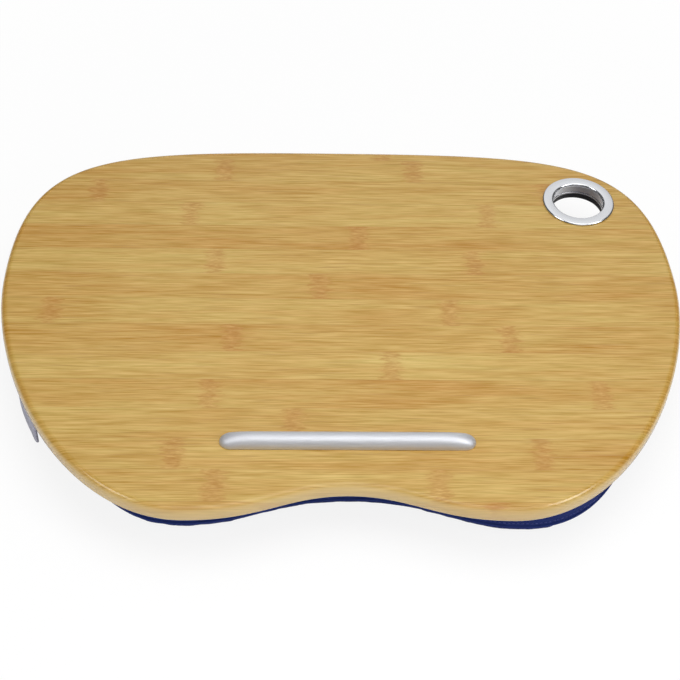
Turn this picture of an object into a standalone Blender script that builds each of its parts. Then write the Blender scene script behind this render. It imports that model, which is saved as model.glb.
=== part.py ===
"""Cushioned lap desk: a kidney-shaped board on a sewn cushion, with cup ring, ledge bar and carry strap.

Metres, +Z up. X runs along the board's width and -Y points to the user. The origin lies on the surface
that the cushion rests on, below the middle of the board.
"""
import math
from collections import namedtuple

import bmesh
import bpy
from mathutils import Vector
from mathutils.geometry import interpolate_bezier

# Clearance that pieces which touch on the real object keep to each other
GAP = 0.0003
# How far a cutter runs past the face that it opens
OVERRUN = 0.002

# Board: its size, and where its kidney outline turns
BOARD_WIDTH = 0.580
BOARD_DEPTH = 0.419
BOARD_THICKNESS = 0.012
BOARD_TOP_ROUND = 0.006
BOARD_LOWER_ARRIS = 0.0008
BOARD_WIDEST_Y = 0.0385
FRONT_LOBE_X = 0.1247
FRONT_NOTCH_DEPTH = 0.0228

# Cushion under the board, fastened a little to the right. At the back it stops short of the cup hole
CUSHION_HEIGHT = 0.050
CUSHION_SIDE_INSET = 0.025
CUSHION_FRONT_INSET = 0.0223
CUSHION_NOTCH_INSET = 0.0241
CUSHION_FROM_BACK = 0.1116
CUSHION_BACK_Y = BOARD_DEPTH / 2 - CUSHION_FROM_BACK
CUSHION_WIDEST_Y = 0.048
CUSHION_LOBE_X = 0.1365
CUSHION_SHIFT_X = 0.0085
COVER_CLOTH = 0.001
PIPING_RADIUS = 0.0013
PIPING_INSET = 0.0009
SEAM_HEIGHT = 0.016
UNDERSIDE_ROLL = 0.021
GUSSET_LEAN = 0.0045
GUSSET_CURVE = 1.8
FILLING_SLACK = 0.0006
FILLING_SHOULDER = 0.0015

# Cup ring pressed into the board, and the black ring that locks it from below
CUP_FROM_SIDE = 0.0723
CUP_FROM_BACK = 0.0693
CUP_RING_X = BOARD_WIDTH / 2 - CUP_FROM_SIDE
CUP_RING_Y = BOARD_DEPTH / 2 - CUP_FROM_BACK
CUP_BORE_RADIUS = 0.024
CUP_FLANGE_RADIUS = 0.0326
CUP_FLANGE_HEIGHT = 0.0017
CUP_FLANGE_DISH = 0.0004
CUP_RIM_ROUND = 0.0010
CUP_LEAD_IN = 0.0010
CUP_WALL = 0.002
LOCK_RING_RADIUS = 0.0295
LOCK_RING_HEIGHT = 0.003
LOCK_RING_CHAMFER = 0.0012
LOCK_RING_EASE = 0.0002

# Ledge bar that stops the laptop, and its two screws
LEDGE_LENGTH = 0.199
LEDGE_FROM_FRONT = 0.0660
LEDGE_Y = LEDGE_FROM_FRONT - BOARD_DEPTH / 2
LEDGE_WIDTH = 0.0155
LEDGE_HEIGHT = 0.0086
LEDGE_TAPER = 0.028
LEDGE_END_BLUNTNESS = 6
SCREW_SPACING = 0.140
SCREW_RADIUS = 0.00175
SCREW_HEAD_RADIUS = 0.0036
SCREW_HEAD_HEIGHT = 0.0022
SCREW_BITE = 0.0048
SCREW_POINT = 0.001

# Hook patches on the board and loop patches on the cushion, face to face in pairs
PATCH_LENGTH = 0.060
PATCH_WIDTH = 0.025
PATCH_THICKNESS = 0.0012
PATCH_CORNER = 0.004
PATCH_CORNER_STEPS = 3
PATCH_FROM_SIDE = 0.140
PATCH_FROM_FRONT = 0.1016
PATCH_FROM_CUSHION_BACK = 0.055

# Carry strap, a band of webbing on edge along the left side. The outer run says how far the loop stays
# behind the board's edge at each share of its length, and both ends fold in to tabs sewn to the cushion
STRAP_WIDTH = 0.025
STRAP_THICKNESS = 0.0018
STRAP_DROP = 0.0071
STRAP_FROM_FRONT = 0.0999
STRAP_FRONT_Y = STRAP_FROM_FRONT - BOARD_DEPTH / 2
STRAP_LOOP_LENGTH = 0.1337
STRAP_OUTER_RUN = ((0.0, 0.0030), (0.075, 0.0028), (0.177, 0.0026), (0.312, 0.0032),
                   (0.499, 0.0054), (0.723, 0.0076), (0.910, 0.0090), (1.0, 0.0105))
STRAP_FOLD_RADIUS = 0.0019
STRAP_WAY_IN = 0.55
STRAP_WAY_IN_INSET = 0.0107
STRAP_TAB_START = 0.026
STRAP_TAB_LENGTH = 0.026

# Fineness of the solids: points on the outline's back, side and notch spans, and facets of what is turned
OUTLINE_STEPS = (13, 13, 8)
TURN_STEPS = 48
SMALL_TURN_STEPS = 16
BAR_RING_STEPS = 28
BAR_LENGTH_STEPS = 17
STRAP_CURVE_STEPS = 4
ROLL_STEPS = 5
ROUND_STEPS = 4

Outline = namedtuple("Outline", "half_width back_y widest_y lobe_x lobe_y notch_y "
                                "back shoulder flank lobe_out lobe_in notch")

# The last six values are handle lengths, each as a share of the span that it bends
BOARD_OUTLINE = Outline(
    half_width=BOARD_WIDTH / 2, back_y=BOARD_DEPTH / 2, widest_y=BOARD_WIDEST_Y, lobe_x=FRONT_LOBE_X,
    lobe_y=-BOARD_DEPTH / 2, notch_y=-BOARD_DEPTH / 2 + FRONT_NOTCH_DEPTH,
    back=0.749, shoulder=0.972, flank=0.42, lobe_out=0.565, lobe_in=0.48, notch=0.385)
CUSHION_OUTLINE = Outline(
    half_width=BOARD_WIDTH / 2 - CUSHION_SIDE_INSET, back_y=CUSHION_BACK_Y, widest_y=CUSHION_WIDEST_Y,
    lobe_x=CUSHION_LOBE_X, lobe_y=-BOARD_DEPTH / 2 + CUSHION_FRONT_INSET,
    notch_y=-BOARD_DEPTH / 2 + FRONT_NOTCH_DEPTH + CUSHION_NOTCH_INSET,
    back=0.72, shoulder=0.90, flank=0.23, lobe_out=0.79, lobe_in=0.475, notch=0.53)


def clear_scene():
    for obj in list(bpy.data.objects):
        bpy.data.objects.remove(obj, do_unlink=True)


def new_collection(name):
    collection = bpy.data.collections.new(name)
    bpy.context.scene.collection.children.link(collection)
    return collection


def new_material(name, colour, roughness, metallic=0.0):
    material = bpy.data.materials.new(name)
    material.use_nodes = True
    shader = material.node_tree.nodes["Principled BSDF"]
    shader.inputs["Base Color"].default_value = (*colour, 1.0)
    shader.inputs["Roughness"].default_value = roughness
    shader.inputs["Metallic"].default_value = metallic
    return material


def add_object(name, data, collection, parent, material=None):
    obj = bpy.data.objects.new(name, data)
    collection.objects.link(obj)
    obj.parent = parent
    if material:
        data.materials.append(material)
    return obj


def add_empty(name, collection, location):
    empty = bpy.data.objects.new(name, None)
    empty.location = location
    collection.objects.link(empty)
    return empty


def mesh_from(bm, name):
    """The bmesh as a mesh, its faces turned outwards and its round parts shaded smooth."""
    bmesh.ops.recalc_face_normals(bm, faces=bm.faces)
    mesh = bpy.data.meshes.new(name)
    bm.to_mesh(mesh)
    bm.free()
    mesh.shade_smooth()
    mesh.set_sharp_from_angle(angle=math.radians(40))
    return mesh


def outline_points(shape, steps=OUTLINE_STEPS):
    """Points round a kidney outline, anticlockwise from the middle of the back.

    A knot sits at the middle of the back, at each side's widest place, at each front lobe and in the notch,
    and every handle lies level or upright.
    """
    back = Vector((0.0, shape.back_y, 0.0))
    back_handle = Vector((shape.back * shape.half_width, 0.0, 0.0))
    side = Vector((-shape.half_width, shape.widest_y, 0.0))
    rise = Vector((0.0, shape.shoulder * (shape.back_y - shape.widest_y), 0.0))
    fall = Vector((0.0, shape.flank * (shape.widest_y - shape.lobe_y), 0.0))
    lobe = Vector((-shape.lobe_x, shape.lobe_y, 0.0))
    outward = Vector((shape.lobe_out * (shape.half_width - shape.lobe_x), 0.0, 0.0))
    inward = Vector((shape.lobe_in * shape.lobe_x, 0.0, 0.0))
    notch = Vector((0.0, shape.notch_y, 0.0))
    notch_handle = Vector((shape.notch * shape.lobe_x, 0.0, 0.0))
    left_spans = (
        (back, back - back_handle, side + rise, side),
        (side, side - fall, lobe - outward, lobe),
        (lobe, lobe + inward, notch - notch_handle, notch))
    left = []
    for span, count in zip(left_spans, steps):
        left += interpolate_bezier(*span, count + 1)[:-1]
    mirrored = [Vector((-p.x, p.y, 0.0)) for p in reversed(left[1:])]
    return left + [notch] + mirrored


def left_flank_point(points, y, inset):
    """The point on the outline's left flank at this Y, moved in square to the outline."""
    flank = [p for p in points if p.x < -FRONT_LOBE_X / 2]
    for a, b in zip(flank, flank[1:]):
        if a.y >= y >= b.y:
            along = (b - a).normalized()
            inward = Vector((-along.y, along.x, 0.0))
            return a.lerp(b, (a.y - y) / (a.y - b.y)) + inward * inset
    raise ValueError("the left flank doesn't reach this Y")


def flat_face(bm, points, z, downwards=False):
    """One flat face inside the outline at this height."""
    verts = [bm.verts.new((p.x, p.y, z)) for p in points]
    edges = [bm.edges.new(pair) for pair in zip(verts, verts[1:] + verts[:1])]
    face = bmesh.ops.edgeloop_fill(bm, edges=edges)["faces"][0]
    face.normal_update()
    if (face.normal.z < 0) != downwards:
        face.normal_flip()
    return face


def inset_in_steps(bm, face, section):
    """Insets a flat face ring by ring. The section lists (inset, rise) from where the face starts."""
    last_inset, last_rise = 0.0, 0.0
    for inset, rise in section:
        bmesh.ops.inset_region(bm, faces=[face], thickness=inset - last_inset, depth=rise - last_rise,
                               use_boundary=True, use_even_offset=True)
        last_inset, last_rise = inset, rise


def quarter_round(width, height, steps=ROLL_STEPS):
    """A section that leaves upright and comes in level, as (inset, rise)."""
    angles = [math.pi / 2 * i / steps for i in range(1, steps + 1)]
    return [(width * (1.0 - math.cos(a)), height * math.sin(a)) for a in angles]


def leaning_side(lean, height, steps=ROUND_STEPS):
    """A section that starts upright and leans in more and more, as (inset, rise)."""
    shares = [i / steps for i in range(1, steps + 1)]
    return [(lean * s ** GUSSET_CURVE, height * s) for s in shares]


def turned_solid(name, profile, collection, parent, material=None, steps=TURN_STEPS):
    """A solid of revolution. The profile runs down its outer side, as (radius, z)."""
    mesh = bpy.data.meshes.new(name)
    closed = profile[0][0] > 0.0
    edges = [(i, i + 1) for i in range(len(profile) - 1)]
    if closed:
        edges.append((len(profile) - 1, 0))
    mesh.from_pydata([(r, 0.0, z) for r, z in profile], edges, [])
    obj = add_object(name, mesh, collection, parent, material)
    screw = obj.modifiers.new("turn", "SCREW")
    screw.steps = steps
    screw.render_steps = steps
    screw.use_merge_vertices = True
    screw.merge_threshold = 0.00001
    screw.use_smooth_shade = True
    return obj


def make_cutter(obj):
    obj.hide_render = True
    obj.display_type = "WIRE"
    return obj


def cut(obj, cutter):
    boolean = obj.modifiers.new("cut_" + cutter.name, "BOOLEAN")
    boolean.operation = "DIFFERENCE"
    boolean.object = cutter


def add_shell(obj, thickness):
    """Gives an open surface its wall, on the side away from its normals."""
    solidify = obj.modifiers.new("wall", "SOLIDIFY")
    solidify.thickness = thickness
    solidify.offset = -1.0
    solidify.use_even_offset = True


def screw_places():
    return (("left", -SCREW_SPACING / 2), ("right", SCREW_SPACING / 2))


def build_board(parts, cutters, tray, material):
    """The board: a flat kidney with its top edge rounded over, bored for the cup ring and the screws."""
    bm = bmesh.new()
    face = flat_face(bm, outline_points(BOARD_OUTLINE), 0.0)
    raised = bmesh.ops.extrude_face_region(bm, geom=[face])["geom"]
    top_verts = [v for v in raised if isinstance(v, bmesh.types.BMVert)]
    bmesh.ops.translate(bm, verts=top_verts, vec=(0.0, 0.0, BOARD_THICKNESS))
    bmesh.ops.recalc_face_normals(bm, faces=bm.faces)

    def rim(z):
        return [e for e in bm.edges if all(abs(v.co.z - z) < 1e-6 for v in e.verts)]

    bmesh.ops.bevel(bm, geom=rim(BOARD_THICKNESS), offset=BOARD_TOP_ROUND, segments=ROUND_STEPS,
                    profile=0.5, affect="EDGES", material=-1)
    bmesh.ops.bevel(bm, geom=rim(0.0), offset=BOARD_LOWER_ARRIS, segments=1,
                    profile=0.5, affect="EDGES", material=-1)
    board = add_object("tray_board", mesh_from(bm, "tray_board"), parts, tray, material)

    bore = CUP_BORE_RADIUS + CUP_WALL + GAP
    cup_cutter = turned_solid(
        "cup_bore_cutter", [(0.0, BOARD_THICKNESS + OVERRUN), (bore, BOARD_THICKNESS + OVERRUN),
                            (bore, -OVERRUN), (0.0, -OVERRUN)], cutters, tray)
    cup_cutter.location = (CUP_RING_X, CUP_RING_Y, 0.0)
    cut(board, make_cutter(cup_cutter))

    shank = SCREW_RADIUS + GAP
    head = SCREW_HEAD_RADIUS + GAP
    for side, x in screw_places():
        sink = turned_solid(
            "screw_hole_cutter_" + side,
            [(0.0, BOARD_THICKNESS + OVERRUN), (shank, BOARD_THICKNESS + OVERRUN),
             (shank, SCREW_HEAD_HEIGHT + 2 * GAP), (head, GAP), (head, -OVERRUN), (0.0, -OVERRUN)],
            cutters, tray, steps=SMALL_TURN_STEPS)
        sink.location = (x, LEDGE_Y, 0.0)
        cut(board, make_cutter(sink))


def build_cup_ring(parts, tray, material):
    """A flanged collar. Its flange is dished towards the bore and rounded over at its rim."""
    seat = BOARD_THICKNESS + GAP
    top = seat + CUP_FLANGE_HEIGHT
    rim = CUP_FLANGE_RADIUS
    bore = CUP_BORE_RADIUS
    mouth = top - CUP_FLANGE_DISH
    profile = [
        (bore + CUP_LEAD_IN, mouth), (rim - 2 * CUP_RIM_ROUND, top),
        (rim - 0.7 * CUP_RIM_ROUND, top - 0.3 * CUP_RIM_ROUND), (rim, top - CUP_RIM_ROUND), (rim, seat),
        (bore + CUP_WALL, seat), (bore + CUP_WALL, 0.0), (bore, 0.0), (bore, mouth - CUP_LEAD_IN),
        (bore + 0.3 * CUP_LEAD_IN, mouth - 0.3 * CUP_LEAD_IN)]
    ring = turned_solid("cup_ring", profile, parts, tray, material)
    ring.location = (CUP_RING_X, CUP_RING_Y, 0.0)


def build_lock_ring(parts, tray, material):
    """The ring under the board that the collar snaps into. Its bore carries the collar's bore on."""
    bore = CUP_BORE_RADIUS + LOCK_RING_EASE
    low = -GAP - LOCK_RING_HEIGHT
    profile = [(bore, -GAP), (LOCK_RING_RADIUS, -GAP), (LOCK_RING_RADIUS, low + LOCK_RING_CHAMFER),
               (LOCK_RING_RADIUS - LOCK_RING_CHAMFER, low), (bore, low)]
    ring = turned_solid("cup_lock_ring", profile, parts, tray, material)
    ring.location = (CUP_RING_X, CUP_RING_Y, 0.0)


def build_ledge_bar(parts, cutters, tray, material):
    """A half-round bar. Its ends come down in long quarter ellipses and close in a short round in plan."""
    bm = bmesh.new()
    bmesh.ops.create_uvsphere(bm, u_segments=BAR_RING_STEPS, v_segments=BAR_LENGTH_STEPS, radius=1.0)
    straight = LEDGE_LENGTH / 2 - LEDGE_TAPER
    blunt = LEDGE_END_BLUNTNESS
    for vert in bm.verts:
        ball = vert.co.copy()
        reach = abs(ball.z)
        ring = math.hypot(ball.x, ball.y)
        fullness = (1.0 - reach ** blunt) ** (1.0 / blunt) / ring if ring > 1e-4 else 0.0
        vert.co = (math.copysign(straight + LEDGE_TAPER * reach, ball.z),
                   ball.x * fullness * LEDGE_WIDTH / 2, ball.y * LEDGE_HEIGHT)
    bmesh.ops.recalc_face_normals(bm, faces=bm.faces)
    halved = bmesh.ops.bisect_plane(bm, geom=bm.verts[:] + bm.edges[:] + bm.faces[:], plane_co=(0, 0, 0),
                                    plane_no=(0, 0, 1), clear_inner=True)
    edges = [e for e in halved["geom_cut"] if isinstance(e, bmesh.types.BMEdge)]
    bmesh.ops.edgeloop_fill(bm, edges=edges)
    bar = add_object("ledge_bar", mesh_from(bm, "ledge_bar"), parts, tray, material)
    bar.location = (0.0, LEDGE_Y, BOARD_THICKNESS + GAP)

    hole = SCREW_RADIUS + GAP
    depth = SCREW_BITE + 2 * GAP
    for side, x in screw_places():
        pilot = turned_solid("pilot_hole_cutter_" + side,
                             [(0.0, depth), (hole, depth), (hole, -OVERRUN), (0.0, -OVERRUN)],
                             cutters, tray, steps=SMALL_TURN_STEPS)
        pilot.location = (x, LEDGE_Y, BOARD_THICKNESS + GAP)
        cut(bar, make_cutter(pilot))


def build_ledge_screws(parts, tray, material):
    """Countersunk screws, driven from below through the board into the bar."""
    tip = BOARD_THICKNESS + GAP + SCREW_BITE
    profile = [(0.0, tip), (SCREW_RADIUS - SCREW_POINT / 2, tip), (SCREW_RADIUS, tip - SCREW_POINT),
               (SCREW_RADIUS, SCREW_HEAD_HEIGHT + GAP), (SCREW_HEAD_RADIUS, GAP), (0.0, GAP)]
    for side, x in screw_places():
        screw = turned_solid("ledge_screw_" + side, profile, parts, tray, material, steps=SMALL_TURN_STEPS)
        screw.location = (x, LEDGE_Y, 0.0)


def patch_mesh(name):
    """A thin pad with round corners, lying on its underside."""
    bm = bmesh.new()
    bmesh.ops.create_cube(bm, size=1.0)
    bmesh.ops.scale(bm, verts=bm.verts, vec=(PATCH_LENGTH, PATCH_WIDTH, PATCH_THICKNESS))
    bmesh.ops.translate(bm, verts=bm.verts, vec=(0.0, 0.0, PATCH_THICKNESS / 2))
    corners = [e for e in bm.edges if abs(e.verts[0].co.z - e.verts[1].co.z) > PATCH_THICKNESS / 2]
    bmesh.ops.bevel(bm, geom=corners, offset=PATCH_CORNER, segments=PATCH_CORNER_STEPS, profile=0.5,
                    affect="EDGES", material=-1)
    return mesh_from(bm, name)


def patch_places():
    x = BOARD_WIDTH / 2 - PATCH_FROM_SIDE
    front = PATCH_FROM_FRONT - BOARD_DEPTH / 2
    back = CUSHION_BACK_Y - PATCH_FROM_CUSHION_BACK
    return (("front_left", -x, front), ("front_right", x, front),
            ("back_left", -x, back), ("back_right", x, back))


def build_patches(parts, tray, cushion, hook_material, loop_material):
    """Each hook patch hangs under the board, on the loop patch that is sewn to the cushion's top."""
    hook_mesh = patch_mesh("hook_patch")
    hook_mesh.materials.append(hook_material)
    loop_mesh = patch_mesh("loop_patch")
    loop_mesh.materials.append(loop_material)
    for place, x, y in patch_places():
        hook = add_object("hook_patch_" + place, hook_mesh, parts, tray)
        hook.location = (x, y, -GAP - PATCH_THICKNESS)
        loop = add_object("loop_patch_" + place, loop_mesh, parts, cushion)
        loop.location = (x - CUSHION_SHIFT_X, y, cover_top() + GAP)


def cover_top():
    """Height of the cushion's top panel, under both layers of patches."""
    return CUSHION_HEIGHT - 2 * PATCH_THICKNESS - 3 * GAP


def gusset_span():
    """Lowest and highest edge of the gusset, between the two pipings."""
    return SEAM_HEIGHT + PIPING_RADIUS + GAP, top_piping_height() - PIPING_RADIUS - GAP


def top_piping_height():
    return cover_top() - COVER_CLOTH / 2


def top_panel_inset():
    return top_piping_inset() + PIPING_RADIUS + GAP


def top_piping_inset():
    return GUSSET_LEAN + PIPING_INSET


def build_bottom_panel(parts, cushion, material):
    """The cloth that rolls under from the lower seam and lies flat on what carries it."""
    seam = SEAM_HEIGHT - PIPING_RADIUS - GAP
    bm = bmesh.new()
    face = flat_face(bm, outline_points(CUSHION_OUTLINE), seam, downwards=True)
    inset_in_steps(bm, face, quarter_round(UNDERSIDE_ROLL, seam))
    mesh = bpy.data.meshes.new("cushion_bottom_panel")
    bm.to_mesh(mesh)
    bm.free()
    mesh.shade_smooth()
    panel = add_object("cushion_bottom_panel", mesh, parts, cushion, material)
    add_shell(panel, COVER_CLOTH)


def build_gusset(parts, cushion, material):
    """The side band, drawn in towards the board."""
    low, high = gusset_span()
    bm = bmesh.new()
    face = flat_face(bm, outline_points(CUSHION_OUTLINE), low)
    inset_in_steps(bm, face, leaning_side(GUSSET_LEAN, high - low))
    bmesh.ops.delete(bm, geom=[face], context="FACES_ONLY")
    mesh = bpy.data.meshes.new("cushion_gusset")
    bm.to_mesh(mesh)
    bm.free()
    mesh.shade_smooth()
    gusset = add_object("cushion_gusset", mesh, parts, cushion, material)
    add_shell(gusset, COVER_CLOTH)


def build_top_panel(parts, cushion, material):
    """The flat cloth under the board."""
    bm = bmesh.new()
    face = flat_face(bm, outline_points(CUSHION_OUTLINE), cover_top())
    inset_in_steps(bm, face, [(top_panel_inset(), 0.0)])
    bmesh.ops.delete(bm, geom=[f for f in bm.faces if f is not face], context="FACES")
    mesh = bpy.data.meshes.new("cushion_top_panel")
    bm.to_mesh(mesh)
    bm.free()
    panel = add_object("cushion_top_panel", mesh, parts, cushion, material)
    add_shell(panel, COVER_CLOTH)


def build_filling(parts, cushion, material):
    """The bag of beads inside the cover, which it fills with a little slack all round."""
    low, high = gusset_span()
    seam = SEAM_HEIGHT - PIPING_RADIUS - GAP
    wall = COVER_CLOTH + FILLING_SLACK
    floor = COVER_CLOTH + GAP
    ceiling = cover_top() - COVER_CLOTH - GAP
    start = PIPING_RADIUS + wall - GAP
    bm = bmesh.new()
    outer = flat_face(bm, outline_points(CUSHION_OUTLINE), seam)
    inset_in_steps(bm, outer, [(start, 0.0)])
    bmesh.ops.delete(bm, geom=[f for f in bm.faces if f is not outer], context="FACES")
    raised = bmesh.ops.extrude_face_region(bm, geom=[outer])["geom"]
    upper = next(f for f in raised if isinstance(f, bmesh.types.BMFace))
    bmesh.ops.translate(bm, verts=upper.verts[:], vec=(0.0, 0.0, low - seam))
    bmesh.ops.recalc_face_normals(bm, faces=bm.faces)
    flat = [f for f in bm.faces if abs(f.normal.z) > 0.9]
    lower = min(flat, key=lambda f: f.calc_center_median().z)
    upper = max(flat, key=lambda f: f.calc_center_median().z)
    inset_in_steps(bm, lower, quarter_round(UNDERSIDE_ROLL - start, seam - floor))
    side = leaning_side(GUSSET_LEAN, high - low - FILLING_SHOULDER)
    side.append((top_panel_inset() + FILLING_SHOULDER, ceiling - low))
    inset_in_steps(bm, upper, side)
    add_object("cushion_filling", mesh_from(bm, "cushion_filling"), parts, cushion, material)


def build_piping(name, inset, height, parts, cushion, material):
    """A round cord sewn into a seam, all the way round the cushion."""
    bm = bmesh.new()
    face = flat_face(bm, outline_points(CUSHION_OUTLINE), height)
    inset_in_steps(bm, face, [(inset, 0.0)])
    places = [v.co.copy() for v in face.verts]
    bm.free()
    curve = bpy.data.curves.new(name, "CURVE")
    curve.dimensions = "3D"
    curve.bevel_depth = PIPING_RADIUS
    curve.bevel_resolution = 1
    spline = curve.splines.new("POLY")
    spline.points.add(len(places) - 1)
    for point, place in zip(spline.points, places):
        point.co = (*place, 1.0)
    spline.use_cyclic_u = True
    add_object(name, curve, parts, cushion, material)


def strap_path():
    """The strap's middle line seen from above, from one sewn end round the loop to the other."""
    board = outline_points(BOARD_OUTLINE)
    gusset = [p + Vector((CUSHION_SHIFT_X, 0.0, 0.0)) for p in outline_points(CUSHION_OUTLINE)]
    sewn = -GAP - STRAP_THICKNESS / 2
    rear_y = STRAP_FRONT_Y + STRAP_LOOP_LENGTH
    front_tab = STRAP_FRONT_Y + STRAP_TAB_START
    rear_tab = rear_y - STRAP_TAB_START
    front_inset = STRAP_OUTER_RUN[0][1]
    rear_inset = STRAP_OUTER_RUN[-1][1]

    def turned_in(y, inset, sewn_y, back):
        """The fold at one end of the loop, and the way in from there to the sewn end."""
        turn = STRAP_FOLD_RADIUS
        return [left_flank_point(board, y - back * turn, inset + turn),
                left_flank_point(board, y + back * turn, inset + 2 * turn + GAP),
                left_flank_point(board, y + (sewn_y - y) * STRAP_WAY_IN, inset + STRAP_WAY_IN_INSET)]

    path = [left_flank_point(gusset, front_tab + STRAP_TAB_LENGTH, sewn),
            left_flank_point(gusset, front_tab + STRAP_TAB_LENGTH / 2, sewn),
            left_flank_point(gusset, front_tab, sewn)]
    path += reversed(turned_in(STRAP_FRONT_Y, front_inset, front_tab, 1.0))
    path += [left_flank_point(board, STRAP_FRONT_Y + share * STRAP_LOOP_LENGTH, inset)
             for share, inset in STRAP_OUTER_RUN]
    path += turned_in(rear_y, rear_inset, rear_tab, -1.0)
    path += [left_flank_point(gusset, rear_tab, sewn),
             left_flank_point(gusset, rear_tab - STRAP_TAB_LENGTH / 2, sewn),
             left_flank_point(gusset, rear_tab - STRAP_TAB_LENGTH, sewn)]
    return path


def build_strap(parts, cutters, cushion, material):
    """A flat band on edge: a ribbon drawn along its path, with its thickness on both sides."""
    curve = bpy.data.curves.new("carry_strap_path", "CURVE")
    curve.dimensions = "2D"
    curve.fill_mode = "NONE"
    curve.extrude = STRAP_WIDTH / 2
    curve.resolution_u = STRAP_CURVE_STEPS
    spline = curve.splines.new("BEZIER")
    path = strap_path()
    spline.bezier_points.add(len(path) - 1)
    for index, (knot, place) in enumerate(zip(spline.bezier_points, path)):
        sewn = index < 3 or index > len(path) - 4
        knot.co = place
        knot.handle_left_type = knot.handle_right_type = "VECTOR" if sewn else "AUTO"
    guide = add_object("carry_strap_path", curve, cutters, None)
    bpy.context.view_layer.update()
    evaluated = guide.evaluated_get(bpy.context.evaluated_depsgraph_get())
    mesh = bpy.data.meshes.new_from_object(evaluated)
    bpy.data.objects.remove(guide)
    bm = bmesh.new()
    bm.from_mesh(mesh)
    bmesh.ops.remove_doubles(bm, verts=bm.verts, dist=0.00001)
    bm.to_mesh(mesh)
    bm.free()
    mesh.shade_smooth()
    strap = add_object("carry_strap", mesh, parts, cushion, material)
    strap.location = (-CUSHION_SHIFT_X, 0.0, CUSHION_HEIGHT - STRAP_DROP - STRAP_WIDTH / 2)
    solidify = strap.modifiers.new("webbing", "SOLIDIFY")
    solidify.thickness = STRAP_THICKNESS
    solidify.offset = 0.0
    solidify.use_even_offset = True


def main():
    clear_scene()
    parts = new_collection("lap_desk")
    cutters = new_collection("cutters")
    tray = add_empty("tray_lift", parts, (0.0, 0.0, CUSHION_HEIGHT))
    cushion = add_empty("cushion_base", parts, (CUSHION_SHIFT_X, 0.0, 0.0))

    bamboo = new_material("bamboo_print_board", (0.60, 0.37, 0.11), 0.38)
    satin_metal = new_material("satin_plated_ring", (0.66, 0.67, 0.70), 0.28, 0.9)
    silver_lacquer = new_material("silver_lacquered_bar", (0.70, 0.70, 0.73), 0.35, 0.6)
    black_plastic = new_material("black_moulded_plastic", (0.012, 0.012, 0.014), 0.45)
    zinc = new_material("zinc_plated_steel", (0.55, 0.56, 0.58), 0.4, 1.0)
    navy_cloth = new_material("navy_cloth", (0.010, 0.018, 0.10), 0.9)
    navy_piping = new_material("navy_piping", (0.014, 0.024, 0.12), 0.85)
    bead_bag = new_material("white_bead_bag", (0.75, 0.75, 0.73), 0.9)
    black_hook = new_material("black_hook_tape", (0.015, 0.015, 0.016), 0.8)
    black_loop = new_material("black_loop_tape", (0.02, 0.02, 0.022), 0.95)
    grey_webbing = new_material("grey_webbing", (0.38, 0.38, 0.45), 0.8)

    build_board(parts, cutters, tray, bamboo)
    build_cup_ring(parts, tray, satin_metal)
    build_lock_ring(parts, tray, black_plastic)
    build_ledge_bar(parts, cutters, tray, silver_lacquer)
    build_ledge_screws(parts, tray, zinc)
    build_patches(parts, tray, cushion, black_hook, black_loop)
    build_bottom_panel(parts, cushion, navy_cloth)
    build_gusset(parts, cushion, navy_cloth)
    build_top_panel(parts, cushion, navy_cloth)
    build_filling(parts, cushion, bead_bag)
    build_piping("cushion_piping_bottom", PIPING_INSET, SEAM_HEIGHT, parts, cushion, navy_piping)
    build_piping("cushion_piping_top", top_piping_inset(), top_piping_height(), parts, cushion, navy_piping)
    build_strap(parts, cutters, cushion, grey_webbing)


main()
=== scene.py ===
"""Looks of the cushioned lap desk: bamboo-print board, plated cup ring, silver bar, navy cushion, strap."""
import math
from collections import namedtuple
from functools import partial

import bmesh
import bpy
import numpy as np
from mathutils import Matrix, Vector, kdtree, noise
from mathutils.bvhtree import BVHTree
from mathutils.geometry import interpolate_bezier


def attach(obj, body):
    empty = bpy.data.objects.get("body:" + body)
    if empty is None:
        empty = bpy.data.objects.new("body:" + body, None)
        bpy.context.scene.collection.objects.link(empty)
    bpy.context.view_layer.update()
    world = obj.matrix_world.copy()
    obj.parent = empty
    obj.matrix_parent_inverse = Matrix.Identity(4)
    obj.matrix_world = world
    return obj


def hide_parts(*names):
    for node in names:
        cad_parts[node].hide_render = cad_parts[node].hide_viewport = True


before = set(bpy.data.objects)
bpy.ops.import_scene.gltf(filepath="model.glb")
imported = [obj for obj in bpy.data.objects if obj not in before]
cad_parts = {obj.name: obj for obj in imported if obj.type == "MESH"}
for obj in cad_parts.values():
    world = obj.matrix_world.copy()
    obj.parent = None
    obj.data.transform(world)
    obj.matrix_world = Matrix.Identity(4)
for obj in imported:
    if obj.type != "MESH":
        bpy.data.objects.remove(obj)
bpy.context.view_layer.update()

# Sizes shared with the solids, in metres
GAP = 0.0003
BOARD_LOW = 0.050
BOARD_TOP = 0.062
BOARD_TOP_ROUND = 0.006
BOARD_LOWER_ARRIS = 0.0008
CUSHION_TOP = 0.0467
SEAM_LOW = 0.016
SEAM_HIGH = 0.0462
SEAM_HIGH_INSET = 0.0054
PIPING_RADIUS = 0.0013
UNDERSIDE_ROLL = 0.021
CUP_CENTRE = Vector((0.2177, 0.1402, 0.0))
CUP_BORE = 0.024
FLANGE_RADIUS = 0.0326
LOCK_RING_RADIUS = 0.0295
LEDGE_LENGTH = 0.199
LEDGE_Y = -0.1435
LEDGE_WIDTH = 0.0155
LEDGE_HEIGHT = 0.0086
SCREW_X = 0.070
PATCH_SIZE = (0.060, 0.025, 0.0012)
PATCH_X = 0.150
PATCH_ROWS = (-0.1079, 0.0429)
STRAP_WIDTH = 0.025
STRAP_MIDDLE_Z = 0.0304

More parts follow.
